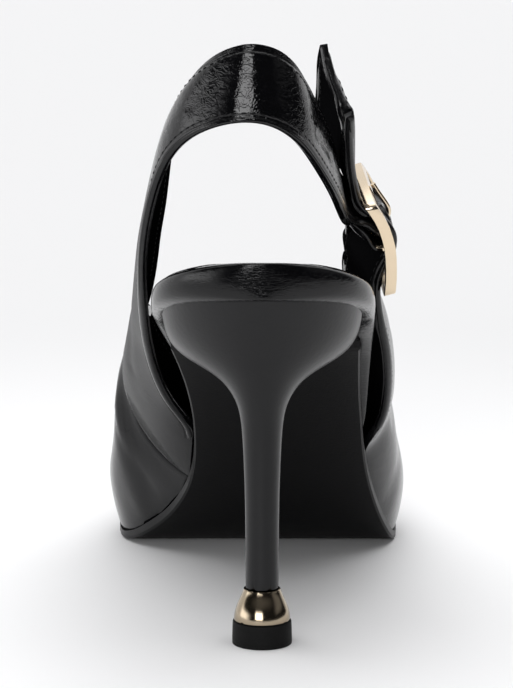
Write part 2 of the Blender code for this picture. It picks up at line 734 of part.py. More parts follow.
def wire(name, path, radius, collection):
    """Round wire along points given in the frame's own axes."""
    curve = bpy.data.curves.new(name, "CURVE")
    curve.dimensions = "3D"
    curve.bevel_depth = radius * MM
    curve.bevel_resolution = 2
    curve.use_fill_caps = True
    spline = curve.splines.new("POLY")
    spline.points.add(len(path) - 1)
    for point, place in zip(spline.points, path):
        point.co = (*(buckle_point(*place) * MM), 1)
    made = bpy.data.objects.new(name, curve)
    collection.objects.link(made)
    return made


def make_centre_bar(frame, cutters):
    """Union of the frame and the centre bar, whose ends turn outward into the side bars."""
    across = (FRAME_WIDTH - SIDE_BAR) / 2
    out = read_table(FRAME_BOW, "out", 0)
    turn = CENTRE_BAR_RADIUS * 1.2
    path = [(-across, 0, out), (-across, 0, turn), (turn - across, 0, 0)]
    path += [(-x, y, z) for x, y, z in reversed(path)]
    drawn = wire("centre_bar", path, CENTRE_BAR_RADIUS, cutters)
    bpy.context.view_layer.update()
    evaluated = drawn.evaluated_get(bpy.context.evaluated_depsgraph_get())
    mesh = bpy.data.meshes.new_from_object(evaluated)
    bpy.data.objects.remove(drawn)
    bm = bmesh.new()
    bm.from_mesh(mesh)
    bmesh.ops.remove_doubles(bm, verts=bm.verts, dist=0.000001)
    bmesh.ops.recalc_face_normals(bm, faces=bm.faces)
    bm.to_mesh(mesh)
    bm.free()
    bar = bpy.data.objects.new("centre_bar", mesh)
    cutters.objects.link(bar)
    bar.display_type = "WIRE"
    bar.hide_render = True
    union = frame.modifiers.new("Centre bar", "BOOLEAN")
    union.operation = "UNION"
    union.solver = "EXACT"
    union.object = bar


def make_prong(material, collection):
    """Wire prong: an open eye round the centre bar, out through the strap, onto the top bar."""
    path = []
    for degrees in range(170, 361, 19):
        angle = math.radians(degrees)
        path.append((0, PRONG_EYE * math.sin(angle), PRONG_EYE * math.cos(angle)))
    path += [(0, row.along, row.out) for row in PRONG]
    made = wire("buckle_prong", path, PRONG_RADIUS, collection)
    made.data.materials.append(material)


def clear_scene():
    for item in list(bpy.data.objects):
        bpy.data.objects.remove(item)


def main():
    clear_scene()
    shoe = bpy.data.collections.new("slingback_pump")
    cutters = bpy.data.collections.new("cutters")
    bpy.context.scene.collection.children.link(shoe)
    bpy.context.scene.collection.children.link(cutters)
    leather = make_material("black_leather", (0.012, 0.012, 0.014), 0.32, 0)
    sole_black = make_material("black_sole", (0.014, 0.014, 0.016), 0.55, 0)
    heel_black = make_material("black_heel", (0.01, 0.01, 0.011), 0.35, 0)
    rubber = make_material("black_rubber", (0.012, 0.012, 0.012), 0.6, 0)
    gold = make_material("pale_gold", (0.76, 0.61, 0.42), 0.14, 1)
    make_vamp(leather, shoe)
    make_sling(leather, shoe)
    make_insole(leather, shoe)
    make_outsole(sole_black, shoe)
    make_heel(heel_black, shoe)
    make_collar(gold, shoe)
    make_lift(rubber, shoe)
    frame = make_frame(gold, shoe)
    make_centre_bar(frame, cutters)
    make_prong(gold, shoe)


main()
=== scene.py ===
"""Looks of the slingback pump: leather, rolled edges, stitches, metal, rubber and the studio.

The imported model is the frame. Sizes in the tables are millimetres in the shoe's own frame: X to
the outer side, Y to the toe and Z up, with the origin under the heel.
"""
import math
from collections import namedtuple
from contextlib import contextmanager

import bmesh
import bpy
import numpy as np
from bpy.props import FloatProperty, FloatVectorProperty, PointerProperty
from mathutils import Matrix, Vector, kdtree
from mathutils.bvhtree import BVHTree


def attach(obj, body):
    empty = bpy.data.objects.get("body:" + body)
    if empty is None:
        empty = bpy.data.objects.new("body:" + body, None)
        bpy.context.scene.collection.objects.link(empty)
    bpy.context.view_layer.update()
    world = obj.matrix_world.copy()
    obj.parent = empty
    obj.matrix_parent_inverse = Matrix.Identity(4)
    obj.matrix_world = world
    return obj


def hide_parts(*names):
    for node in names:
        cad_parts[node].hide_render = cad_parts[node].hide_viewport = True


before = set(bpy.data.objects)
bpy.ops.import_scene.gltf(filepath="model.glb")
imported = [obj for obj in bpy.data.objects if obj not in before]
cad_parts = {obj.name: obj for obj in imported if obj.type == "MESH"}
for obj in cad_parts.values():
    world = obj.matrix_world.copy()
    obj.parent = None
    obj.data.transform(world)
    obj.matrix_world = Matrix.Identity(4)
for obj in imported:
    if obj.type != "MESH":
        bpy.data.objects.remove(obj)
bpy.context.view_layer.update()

bl_info = {
    "name": "Slingback pump",
    "version": (1, 0, 0),
    "blender": (4, 5, 0),
    "location": "View3D > Sidebar > Pump",
    "description": "Leather, edges, stitches and metal of a slingback pump, with its studio",
    "category": "Object",
}

MM = 0.001

# Camera of the photograph: its place, its tilt below the horizon and its focal length in pixels
CAMERA_PLACE = (-0.0014, -0.9, 0.251)
CAMERA_TILT = math.radians(10.97)
FOCAL_PIXELS = 3700
FRAME_PIXELS = (513, 688)
SENSOR = 36

# The studio as the shoe sees it, where 1 is the backdrop's white: the backdrop beyond the shoe, the
# light overhead, the lit left side, a faint glow on the right and behind, and a rest all round
BEYOND = 1.0
ABOVE = 2.05
LEFT = 3.0
FAINT_RIGHT = 0.25
FAINT_BEHIND = 0.4
DIM = 0.02
# How much earlier the backdrop ends on the right
SKEW = 0.45
# The softbox behind the camera: its brightness, its place to the right and its half width
BOX = 8.0
BOX_RIGHT = -0.22
BOX_HALF = 0.27
STUDIO_WHITE = (0.93, 0.93, 0.94, 1)

# The paper under the shoe, in metres: its size, how far it reaches towards the camera, and where it
# turns from its near to its far tone. The lighter tone near the shoe is painted light over the shade
# around it
PAPER_SIZE = 14
PAPER_BACK = 0.38
PAPER_PAINTED_LIGHT_FADE = (0.12, 0.45)
PAPER_NEAR_PAINTED_LIGHT = (0.95, 0.95, 0.95)
PAPER_FAR = (0.77, 0.77, 0.77)

# Darker and lighter shade of each black finish
LEATHER_BLACKS = ((0.0016, 0.0016, 0.002), (0.0042, 0.0042, 0.005))
LINING_BLACKS = ((0.003, 0.003, 0.0034), (0.007, 0.007, 0.0076))
THREAD_BLACKS = ((0.0025, 0.0025, 0.003), (0.007, 0.007, 0.008))
LACQUER_BLACKS = ((0.003, 0.003, 0.0035), (0.0055, 0.0055, 0.0065))
TREAD_BLACKS = ((0.0028, 0.0028, 0.003), (0.0055, 0.0055, 0.006))
EDGE_BLACKS = ((0.003, 0.003, 0.0034), (0.006, 0.006, 0.0066))
RUBBER_BLACKS = ((0.004, 0.004, 0.004), (0.010, 0.010, 0.010))
# The collar has the buckle's gold painted darker: painted shade that dims the reflections in it
COLLAR_PAINTED_SHADE = 0.5

# Texture scales of the leather: its fine wrinkles, its wider folds and its pores
WRINKLES = 560
FOLDS = 210
PORES = 2100

# Roughness of each leather: the lower it is, the glossier the face
VAMP_GLOSS = 0.2
SLING_GLOSS = 0.1
SEAT_GLOSS = 0.14
# The sling's wrinkles deepen between these heights, in metres, and it is this much rougher below
BACK_HEIGHTS = (0.1, 0.128)
LOW_ROUGH = 0.44

# Edges that turn more than this are sharp
SHARP = math.radians(48)
# How much each piece's sharp edges hold against rounding
SHEET_HOLD = 0.55
SOLE_HOLD = 1.0
TURNED_HOLD = 0.9
LIFT_HOLD = 0.8
PRONG_HOLD = 0.6
# Points on the outer and inner face of each sheet of leather, from which its faces are found
VAMP_SEEDS = ((-12, 150, 35), (-4, 150, 28))
SLING_SEEDS = ((0, -27, 146), (0, -21, 146))
# A point under the sole, and the turns in degrees that bound its underside, hold its form and
# break its shading
SOLE_SEED = (0, 125, 0)
SOLE_UNDERSIDE = 24
SOLE_CORNER = 25
SOLE_SHADE = 22

# The leather's sheets: how often they are refined, and how far their rolls and seams keep from the
# pieces that cover their edges
SHEET_LEVELS = 2
VAMP_CLEAR = 1.5
SLING_CLEAR = 1.2
# Loops and runs of an edge with no more points than this carry no roll
SHORTEST_LOOP = 8
SHORTEST_RUN = 3
# Rolled edge: its radius, and how far its middle lies in from the edge and towards the outer face
ROLL_RADIUS = 1.22
ROLL_INSET = 0.9
ROLL_OUT = 0.2
ROLL_STEP = 1.2
# How far in from an edge its seam runs
SEAM_INSET = 2.0
# Stitches: length, width, distance apart, lift off the leather, and how many a seam's ends lack
STITCH_LENGTH = 1.7
STITCH_WIDTH = 0.42
STITCH_SPACING = 2.3
STITCH_LIFT = 0.02
STITCHES_LEFT_OUT = 3
# The sling's seams carry visible stitches only above this height
STITCHED_ABOVE = 86.0

# Shadow in front of the wing's edge and the trough and pillow there, by the distance to the wing
LAP_SHADE = (1.5, 4.5)
LAP_TROUGH = (1.5, 11.0)
LAP_DEPTH = 0.6
# The heel darkens towards the sole by this distance to it
TOP_SHADE = (0.35, 0.9)

# Soft troughs (depth above 0) and ridges (below 0) of the leather, each along a short line
Crease = namedtuple("Crease", "start end width depth")
VAMP_CREASES = [
    Crease((-41, 100, 40), (-34, 96, 12), 5.0, -0.5),
    Crease((-39, 96, 44), (-31, 92, 16), 2.0, 0.35),
    Crease((39, 96, 40), (36, 92, 16), 6.0, 0.3),
    Crease((-38, 112, 24), (-30, 118, 38), 6.0, 0.4),
    Crease((37, 112, 24), (30, 118, 38), 6.0, 0.4),
    Crease((34, 66, 58), (36, 82, 40), 5.0, 0.4),
    Crease((32, 50, 74), (30, 58, 80), 3.5, 0.5),
]
SLING_CREASES = [
    Crease((-34, 68, 58), (-32, 52, 76), 4.0, 0.4),
    Crease((-27, -4, 118), (-30, 6, 104), 3.0, 0.35),
    Crease((13, -12, 130), (16, -2, 124), 3.0, 0.4),
    Crease((-14, -22, 148), (-17, -18, 138), 2.6, 0.3),
]

# The seat's wrapped edge: how deep it covers the sole, where that starts and how it eases in
WRAP_DEPTH = 1.8
WRAP_FRONT = 42.0
WRAP_EASE = 26.0
# Faces that point up more than this don't come down with it
WRAP_SIDE = 0.6

# Sock on the insole: where it starts and ends, its rows, its columns, its lift and its thickness
SOCK_BACK = -16.0
SOCK_FRONT = 196.0
SOCK_STEP = 2.0
SOCK_COLUMNS = 13
SOCK_LIFT = 0.35
SOCK_THICKNESS = 0.6
SOCK_INSET = 1.0
# Faces of the insole that point up at least this much carry the sock. They are looked for from this
# height, between these sides, a step at a time
SOCK_FLATNESS = 0.6
SOCK_LOOK_FROM = 200
SOCK_LOOK_SIDE = 42
SOCK_LOOK_STEP = 0.5


class Socket:
    """A shader socket that adds Math nodes when it is used in an expression."""

    def __init__(self, tree, link):
        self.tree = tree
        self.link = link

    def math(self, operation, *values):
        return add_node(self.tree, "ShaderNodeMath", {"operation": operation}, values)

    def __add__(self, other):
        return self.math("ADD", self, other)

    def __sub__(self, other):
        return self.math("SUBTRACT", self, other)

    def __rsub__(self, other):
        return self.math("SUBTRACT", other, self)

    def __mul__(self, other):
        return self.math("MULTIPLY", self, other)

    def __truediv__(self, other):
        return self.math("DIVIDE", self, other)

    __radd__ = __add__
    __rmul__ = __mul__

    def __abs__(self):
        return self.math("ABSOLUTE", self, 0)

    def between(self, low, high):
        """0 below low, 1 above high and a smooth step between them."""
        settings = {"interpolation_type": "SMOOTHSTEP"}
        return add_node(self.tree, "ShaderNodeMapRange", settings, {"Value": self, 1: low, 2: high})


def add_node(tree, kind, settings=None, inputs=(), output=0):
    """Add a node, set it up, join or set its sockets, and return one of its outputs."""
    node = tree.nodes.new(kind)
    for name, value in (settings or {}).items():
        setattr(node, name, value)
    pairs = inputs.items() if isinstance(inputs, dict) else enumerate(inputs)
    for key, value in pairs:
        if isinstance(value, Socket):
            tree.links.new(value.link, node.inputs[key])
        else:
            node.inputs[key].default_value = value
    return Socket(tree, node.outputs[output])


class Finish:
    """A material with one Principled shader, and short names for the textures it uses."""

    def __init__(self, name, **constants):
        self.material = bpy.data.materials.new(name)
        self.material.use_nodes = True
        self.tree = self.material.node_tree
        self.shader = self.tree.nodes["Principled BSDF"]
        for key, value in constants.items():
            self.shader.inputs[key.replace("_", " ")].default_value = value

    def place(self, stretch=(1, 1, 1), turn=(0, 0, 0)):
        coordinates = add_node(self.tree, "ShaderNodeTexCoord", output=3)
        inputs = {"Vector": coordinates, "Rotation": turn, "Scale": stretch}
        return add_node(self.tree, "ShaderNodeMapping", inputs=inputs)

    def axis(self, number):
        """One coordinate of the object's own place, in metres."""
        parts = self.tree.nodes.new("ShaderNodeSeparateXYZ")
        self.tree.links.new(self.place().link, parts.inputs[0])
        return Socket(self.tree, parts.outputs[number])

    def noise(self, place, scale, detail=3.0, roughness=0.5, distortion=0.0):
        inputs = {
            "Vector": place,
            "Scale": scale,
            "Detail": detail,
            "Roughness": roughness,
            "Distortion": distortion,
        }
        return add_node(self.tree, "ShaderNodeTexNoise", inputs=inputs)

    def cells(self, place, scale):
        return add_node(self.tree, "ShaderNodeTexVoronoi", inputs={"Vector": place, "Scale": scale})

    def attribute(self, name):
        return add_node(self.tree, "ShaderNodeAttribute", {"attribute_name": name}, output=2)

    def mix(self, factor, first, second):
        inputs = {0: factor, 6: (*first, 1), 7: (*second, 1)}
        return add_node(self.tree, "ShaderNodeMix", {"data_type": "RGBA"}, inputs, output=2)

    def feed(self, name, socket):
        self.tree.links.new(socket.link, self.shader.inputs[name])

    def bump(self, height, distance, strength=1.0):
        inputs = {"Height": height, "Distance": distance, "Strength": strength}
        self.feed("Normal", add_node(self.tree, "ShaderNodeBump", inputs=inputs))


def leather(name, crinkle, seam=True, gloss=0.24, focus=None, band=1.0, shine=0.3, lap=None):
    """Black semi-gloss leather with pores, fine wrinkles and a groove along its seams.

    With a focus, two heights in metres, the wrinkles grow deeper between them and the leather below
    is rougher. Band flattens the wrinkles into level ones, and shine is the strength of the mirror
    under the coat. With a lap, the leather darkens towards the piece that laps over it.
    """
    finish = Finish(name, Metallic=0.0, Coat_Roughness=0.07, Specular_IOR_Level=shine)
    place = finish.place()
    flow = finish.place(stretch=(1.0, 1.0, 1.5 * band))
    wrinkles = abs(finish.noise(flow, WRINKLES, 1.4, 0.4, 1.1) - 0.5)
    folds = finish.noise(flow, FOLDS, 1.0, 0.5, 0.7)
    upper = finish.axis(2).between(*focus) if focus else 1
    depth = upper * crinkle + 0.3 if focus else crinkle
    pores = finish.cells(place, PORES)
    height = (wrinkles * 1.5 + folds * 1.2) * depth + pores * 0.05
    if seam:
        gap = finish.attribute("edge_gap")
        groove = 1 - abs(gap - SEAM_INSET).between(0.1, 0.55)
        height = height - groove * 2.2
    finish.bump(height, 0.0001)
    cloud = finish.noise(place, 60, 3.0)
    rough = cloud * 0.06 + wrinkles * 0.1 + (gloss - 0.05)
    coat = cloud * 0.12 + 0.06
    if focus:
        rough = rough + (1 - upper) * LOW_ROUGH
    if lap:
        open_face = finish.attribute("lap_gap").between(*LAP_SHADE)
        rough = 1 - open_face * (1 - rough)
        coat = coat * open_face
    finish.feed("Base Color", finish.mix(cloud, *LEATHER_BLACKS))
    finish.feed("Roughness", rough)
    finish.feed("Coat Weight", coat)
    return finish.material


def lining(name):
    """Fine matt leather of the lining and the sock."""
    finish = Finish(name, Metallic=0.0, Specular_IOR_Level=0.0)
    place = finish.place()
    pores = finish.cells(place, 2400)
    folds = finish.noise(place, 420, 4.0, 0.6)
    gap = finish.attribute("edge_gap")
    groove = 1 - abs(gap - SEAM_INSET).between(0.15, 0.6)
    finish.bump(folds * 0.7 + pores * 0.4 - groove * 1.2, 0.00015)
    cloud = finish.noise(place, 45, 3.0)
    finish.feed("Base Color", finish.mix(cloud, *LINING_BLACKS))
    finish.feed("Roughness", cloud * 0.14 + 0.5)
    return finish.material


def thread(name):
    """Twisted black thread."""
    finish = Finish(name, Metallic=0.0, Specular_IOR_Level=0.1)
    twist = finish.noise(finish.place(stretch=(1, 1, 3)), 2600, 1.0)
    finish.bump(twist, 0.0001)
    finish.feed("Base Color", finish.mix(twist, *THREAD_BLACKS))
    finish.feed("Roughness", twist * 0.2 + 0.4)
    return finish.material


def heel_lacquer(name):
    """Satin black lacquer with a faint orange peel, dull where the sole shades it."""
    finish = Finish(name, Metallic=0.0, Specular_IOR_Level=0.3)
    place = finish.place()
    peel = finish.noise(place, 700, 2.0)
    cloud = finish.noise(place, 50, 3.0)
    finish.bump(peel, 0.00003)
    finish.feed("Base Color", finish.mix(cloud, *LACQUER_BLACKS))
    beside = finish.attribute("lap_gap").between(*TOP_SHADE)
    finish.feed("Roughness", 1 - beside * (1 - (cloud * 0.08 + peel * 0.06 + 0.26)))
    return finish.material


def tread_black(name):
    """Matt tread with a fine fibre."""
    finish = Finish(name, Metallic=0.0, Specular_IOR_Level=0.1)
    place = finish.place(stretch=(1, 0.35, 1))
    fibre = finish.noise(place, 1500, 4.0, 0.65)
    scuffs = finish.noise(finish.place(), 90, 4.0, 0.6)
    finish.bump(fibre * 0.6 + scuffs * 0.3, 0.00008)
    finish.feed("Base Color", finish.mix(scuffs, *TREAD_BLACKS))
    finish.feed("Roughness", scuffs * 0.14 + 0.42)
    return finish.material


def sole_edge(name):
    """Smooth painted edge of the sole."""
    finish = Finish(name, Metallic=0.0, Specular_IOR_Level=0.22)
    brush = finish.noise(finish.place(stretch=(1, 0.2, 3)), 900, 2.0)
    finish.bump(brush, 0.00004)
    finish.feed("Base Color", finish.mix(brush, *EDGE_BLACKS))
    finish.feed("Roughness", brush * 0.12 + 0.3)
    return finish.material


def rubber(name):
    """Dull black rubber with specks and scuffs."""
    finish = Finish(name, Metallic=0.0, Specular_IOR_Level=0.08)
    place = finish.place()
    specks = finish.noise(place, 2200, 3.0, 0.7)
    scuffs = finish.noise(place, 180, 3.0)
    finish.bump(specks, 0.00006)
    finish.feed("Base Color", finish.mix(scuffs, *RUBBER_BLACKS))
    finish.feed("Roughness", specks * 0.2 + 0.45)
    return finish.material


def plating(name, color):
    """Polished pale gold with soft smears and hairline scratches."""
    finish = Finish(name, Metallic=1.0)
    place = finish.place()
    smear = finish.noise(place, 120, 3.0)
    hairs = finish.noise(finish.place(stretch=(1, 1, 14)), 900, 2.0)
    finish.bump(hairs * 0.5 + smear * 0.5, 0.00001)
    darker = tuple(channel * 0.86 for channel in color)
    finish.feed("Base Color", finish.mix(smear, darker, tuple(color)))
    finish.feed("Roughness", smear * 0.08 + hairs * 0.05 + 0.06)
    return finish.material


def select_only(made):
    bpy.ops.object.select_all(action="DESELECT")
    made.select_set(True)
    bpy.context.view_layer.objects.active = made


@contextmanager
def editing(made):
    select_only(made)
    bpy.ops.object.mode_set(mode="EDIT")
    yield
    bpy.ops.object.mode_set(mode="OBJECT")


def apply_modifier(made, kind, **settings):
    select_only(made)
    modifier = made.modifiers.new(kind.title(), kind)
    for name, value in settings.items():
        setattr(modifier, name, value)
    bpy.ops.object.modifier_apply(modifier=modifier.name)


def subdivide(made, levels):
    apply_modifier(made, "SUBSURF", levels=levels, render_levels=levels)


def shade(made, degrees=40):
    select_only(made)
    bpy.ops.object.shade_smooth_by_angle(angle=math.radians(degrees))


def copy_node(node, name):
    """Merged copy of a CAD node with its quads restored. It takes the node's place."""
    made = bpy.data.objects.new(name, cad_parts[node].data.copy())
    bpy.context.scene.collection.objects.link(made)
    select_only(made)
    bpy.ops.mesh.customdata_custom_splitnormals_clear()
    made.data.materials.clear()
    with editing(made):
        bpy.ops.mesh.select_all(action="SELECT")
        bpy.ops.mesh.remove_doubles(threshold=0.000005)
        bpy.ops.mesh.tris_convert_to_quads(
            face_threshold=math.radians(60),
            shape_threshold=math.radians(100),
            topology_influence=1.0,
        )
    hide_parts(node)
    return made


def crease_sharp_edges(made, weight, angle=SHARP):
    with editing(made):
        bpy.ops.mesh.select_all(action="DESELECT")
        bpy.ops.mesh.select_mode(type="EDGE")
        bpy.ops.mesh.edges_select_sharp(sharpness=angle)
        bpy.ops.transform.edge_crease(value=weight)


def finish_piece(made, slot, *materials):
    """Give a finished piece its materials and hang it on the shoe's one body."""
    if materials:
        numbers = [polygon.material_index for polygon in made.data.polygons]
        made.data.materials.clear()
        for material in materials:
            made.data.materials.append(material)
        made.data.polygons.foreach_set("material_index", numbers)
    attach(made, "root")
    return made


def flat_region(bm, seed, sharp=SHARP):
    """Faces reached from the one nearest the seed without crossing a sharp edge."""
    seed = Vector(seed) * MM
    start = min(bm.faces, key=lambda face: (face.calc_center_median() - seed).length)
    region = {start}
    waiting = [start]
    while waiting:
        face = waiting.pop()
        for edge in face.edges:
            if edge.calc_face_angle(math.pi) > sharp:
                continue
            for other in edge.link_faces:
                if other not in region:
                    region.add(other)
                    waiting.append(other)
    return region


RimPoint = namedtuple("RimPoint", "centre outward outer inner")


def read_sheet(made, seeds):
    """Mark a sheet's faces 0 outer, 1 inner and 2 rim, and return its rims as closed loops."""
    bm = bmesh.new()
    bm.from_mesh(made.data)
    outer = flat_region(bm, seeds[0])
    inner = flat_region(bm, seeds[1]) - outer
    for face in bm.faces:
        face.material_index = 0 if face in outer else 1 if face in inner else 2
    rim = {face for face in bm.faces if face.material_index == 2}
    crossings = {face: [e for e in face.edges if all(f in rim for f in e.link_faces)] for face in rim}
    loops = []
    used = set()
    for first in sorted(rim, key=lambda face: face.index):
        if first in used:
            continue
        loop = []
        face = first
        edge = crossings[face][0] if crossings[face] else None
        while edge and face not in used:
            used.add(face)
            ahead = [e for e in crossings[face] if e is not edge]
            if not ahead:
                break
            edge = ahead[0]
            following = [f for f in edge.link_faces if f is not face]
            sides = sorted(edge.verts, key=lambda v: -sum(f in outer for f in v.link_faces))
            outward = sum((f.normal for f in edge.link_faces), Vector()).normalized()
            centre = (sides[0].co + sides[1].co) / 2
            loop.append(RimPoint(centre, outward, sides[0].co.copy(), sides[1].co.copy()))
            face = following[0] if following else face
        if len(loop) > SHORTEST_LOOP:
            loops.append(loop)
    bm.to_mesh(made.data)
    bm.free()
    return loops


def open_runs(loop, keep):
    """Stretches of a closed loop whose points all pass the test."""
    marks = [keep(point) for point in loop]
    if all(marks):
        return [loop + loop[:1]]
    start = marks.index(False)
    runs = [[]]
    for i in range(len(loop)):
        place = (start + i) % len(loop)
        if marks[place]:
            runs[-1].append(loop[place])
        elif runs[-1]:
            runs.append([])
    return [run for run in runs if len(run) > SHORTEST_RUN]


def resample(points, spacing):
    """Evenly spaced points and their directions on a smooth line through the points."""
    raw = np.array([list(point) for point in points])
    for _ in range(2):
        raw[1:-1] = raw[1:-1] * 0.5 + (raw[:-2] + raw[2:]) * 0.25
    length = np.concatenate(([0], np.cumsum(np.linalg.norm(np.diff(raw, axis=0), axis=1))))
    fine = np.linspace(0, length[-1], max(4, int(length[-1] / 0.0005)))
    line = np.stack([np.interp(fine, length, raw[:, i]) for i in range(3)], axis=1)
    width = 9
    padded = np.concatenate((np.repeat(line[:1], width, 0), line, np.repeat(line[-1:], width, 0)))
    kernel = np.hanning(2 * width + 1)
    kernel /= kernel.sum()
    line = np.stack([np.convolve(padded[:, i], kernel, "valid") for i in range(3)], axis=1)
    count = max(2, round(length[-1] / spacing))
    picks = np.linspace(0, len(line) - 1, count + 1).round().astype(int)
    slope = np.gradient(line, axis=0)
    return [(Vector(line[i]), Vector(slope[i]).normalized()) for i in picks]


def surface_tree(made):
    return BVHTree.FromPolygons(
        [v.co for v in made.data.vertices], [tuple(p.vertices) for p in made.data.polygons]
    )


def press_creases(made, creases):
    """Sink the troughs and raise the ridges on a sheet's outer face."""
    mesh = made.data
    places = np.empty(len(mesh.vertices) * 3)
    normals = np.empty(len(mesh.vertices) * 3)
    mesh.vertices.foreach_get("co", places)
    mesh.vertices.foreach_get("normal", normals)
    places = places.reshape(-1, 3)
    faces = {0: set(), 1: set(), 2: set()}
    for polygon in mesh.polygons:
        faces[polygon.material_index].update(polygon.vertices)
    depth = np.zeros(len(places))
    for crease in creases:
        start = np.array(crease.start) * MM
        line = np.array(crease.end) * MM - start
        along = np.clip((places - start) @ line / (line @ line), 0, 1)
        reach = np.linalg.norm(places - start - along[:, None] * line, axis=1) / (crease.width * MM)
        depth += crease.depth * MM * np.exp(-2 * reach * reach)
    pressed = np.zeros(len(places))
    pressed[list(faces[0] - faces[2])] = 1
    places -= normals.reshape(-1, 3) * (depth * pressed)[:, None]
    mesh.vertices.foreach_set("co", places.ravel())
    mesh.update()


def store_edge_gap(made, runs):
    """Keep each vertex's distance to the stitched edges, in millimetres, for the shaders.

    Around the ends of a run it is never short enough for the seam's groove.
    """
    points = []
    ends = set()
    for run in runs:
        line = [point for point, _ in resample([p.centre for p in run], 0.6 * MM)]
        ends.update((len(points), len(points) + 1))
        points += line
        ends.update((len(points) - 2, len(points) - 1))
    tree = kdtree.KDTree(len(points))
    for index, point in enumerate(points):
        tree.insert(point, index)
    tree.balance()
    gaps = []
    for vertex in made.data.vertices:
        _, index, gap = tree.find(vertex.co)
        gaps.append(max(gap / MM, SEAM_INSET * 2) if index in ends else gap / MM)
    layer = made.data.attributes.new("edge_gap", "FLOAT", "POINT")
    layer.data.foreach_set("value", np.array(gaps, np.float32))


def tube(name, lines, radius, sides=10):
    """Round beads along open lines, tapered at their ends, as one mesh."""
    curve = bpy.data.curves.new(name, "CURVE")
    curve.dimensions = "3D"
    curve.bevel_depth = radius
    curve.bevel_resolution = sides // 2 - 2
    curve.use_fill_caps = True
    for line in lines:
        spline = curve.splines.new("POLY")
        spline.points.add(len(line) - 1)
        for index, point in enumerate(line):
            end = min(index, len(line) - 1 - index)
            spline.points[index].co = (*point, 1)
            spline.points[index].radius = min(1.0, 0.55 + 0.15 * end)
    made = bpy.data.objects.new(name, curve)
    bpy.context.scene.collection.objects.link(made)
    select_only(made)
    bpy.ops.object.convert(target="MESH")
    with editing(made):
        bpy.ops.mesh.select_all(action="SELECT")
        bpy.ops.mesh.remove_doubles(threshold=0.000002)
    shade(made, 60)
    return made


def stitch_shape(length, width):
    """One stitch: a sphere pulled long and flattened, with its ends dipping into the leather."""
    bpy.ops.object.select_all(action="DESELECT")
    bpy.ops.mesh.primitive_uv_sphere_add(segments=8, ring_count=7, radius=1)
    made = bpy.context.active_object
    with editing(made):
        bpy.ops.mesh.select_all(action="SELECT")
        bpy.ops.transform.rotate(value=math.pi / 2, orient_axis="Y", center_override=(0, 0, 0))
        bpy.ops.transform.resize(value=(length / 2, width / 2, width / 2.6))
    for vertex in made.data.vertices:
        dip = (2 * vertex.co.x / length) ** 2
        vertex.co.z -= dip * width * 0.45
    return made


def lay_stitches(name, places):
    """Copies of one stitch joined into a mesh. A place is its point, direction and normal."""
    shape = stitch_shape(STITCH_LENGTH * MM, STITCH_WIDTH * MM)
    points = np.array([list(v.co) for v in shape.data.vertices])
    faces = [tuple(p.vertices) for p in shape.data.polygons]
    bpy.data.objects.remove(shape)
    vertices = []
    polygons = []
    for point, direction, normal in places:
        side = normal.cross(direction).normalized()
        ahead = side.cross(normal).normalized()
        turn = np.array([list(ahead), list(side), list(normal)])
        base = len(vertices)
        vertices.extend((points @ turn + np.array(list(point))).tolist())
        polygons.extend(tuple(base + i for i in face) for face in faces)
    mesh = bpy.data.meshes.new(name)
    mesh.from_pydata(vertices, [], polygons)
    made = bpy.data.objects.new(name, mesh)
    bpy.context.scene.collection.objects.link(made)
    shade(made, 80)
    return made


def seam_places(run, tree, floor, inner=False):
    """Places for stitches on the sheet's face above a height, an even distance in from its edge."""
    side = "inner" if inner else "outer"
    anchors = [getattr(p, side) - p.outward * SEAM_INSET * MM for p in run]
    places = []
    spaced = resample(anchors, STITCH_SPACING * MM)
    for point, direction in spaced[STITCHES_LEFT_OUT:-STITCHES_LEFT_OUT]:
        hit, normal, _, _ = tree.find_nearest(point)
        if hit.z > floor * MM:
            places.append((hit + normal * STITCH_LIFT * MM, direction, normal))
    return places


def store_lap_gap(made, node):
    """Keep and return each vertex's distance to a neighbouring piece, in millimetres."""
    tree = surface_tree(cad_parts[node])
    gaps = [tree.find_nearest(vertex.co)[3] / MM for vertex in made.data.vertices]
    layer = made.data.attributes.new("lap_gap", "FLOAT", "POINT")
    layer.data.foreach_set("value", np.array(gaps, np.float32))
    return gaps


def press_lap(made, gaps):
    """Sink a trough in front of the wing's edge, with a soft pillow beyond it."""
    faces = [face for face in made.data.polygons if face.material_index == 0]
    outer = {index for face in faces for index in face.vertices}
    normals = [vertex.normal.copy() for vertex in made.data.vertices]
    for index in sorted(outer):
        if LAP_TROUGH[0] < gaps[index] < LAP_TROUGH[1]:
            share = (gaps[index] - LAP_TROUGH[0]) / (LAP_TROUGH[1] - LAP_TROUGH[0])
            wave = math.sin(2 * math.pi * share) - 0.35 * math.sin(math.pi * share)
            made.data.vertices[index].co -= normals[index] * wave * LAP_DEPTH * MM
    made.data.update()


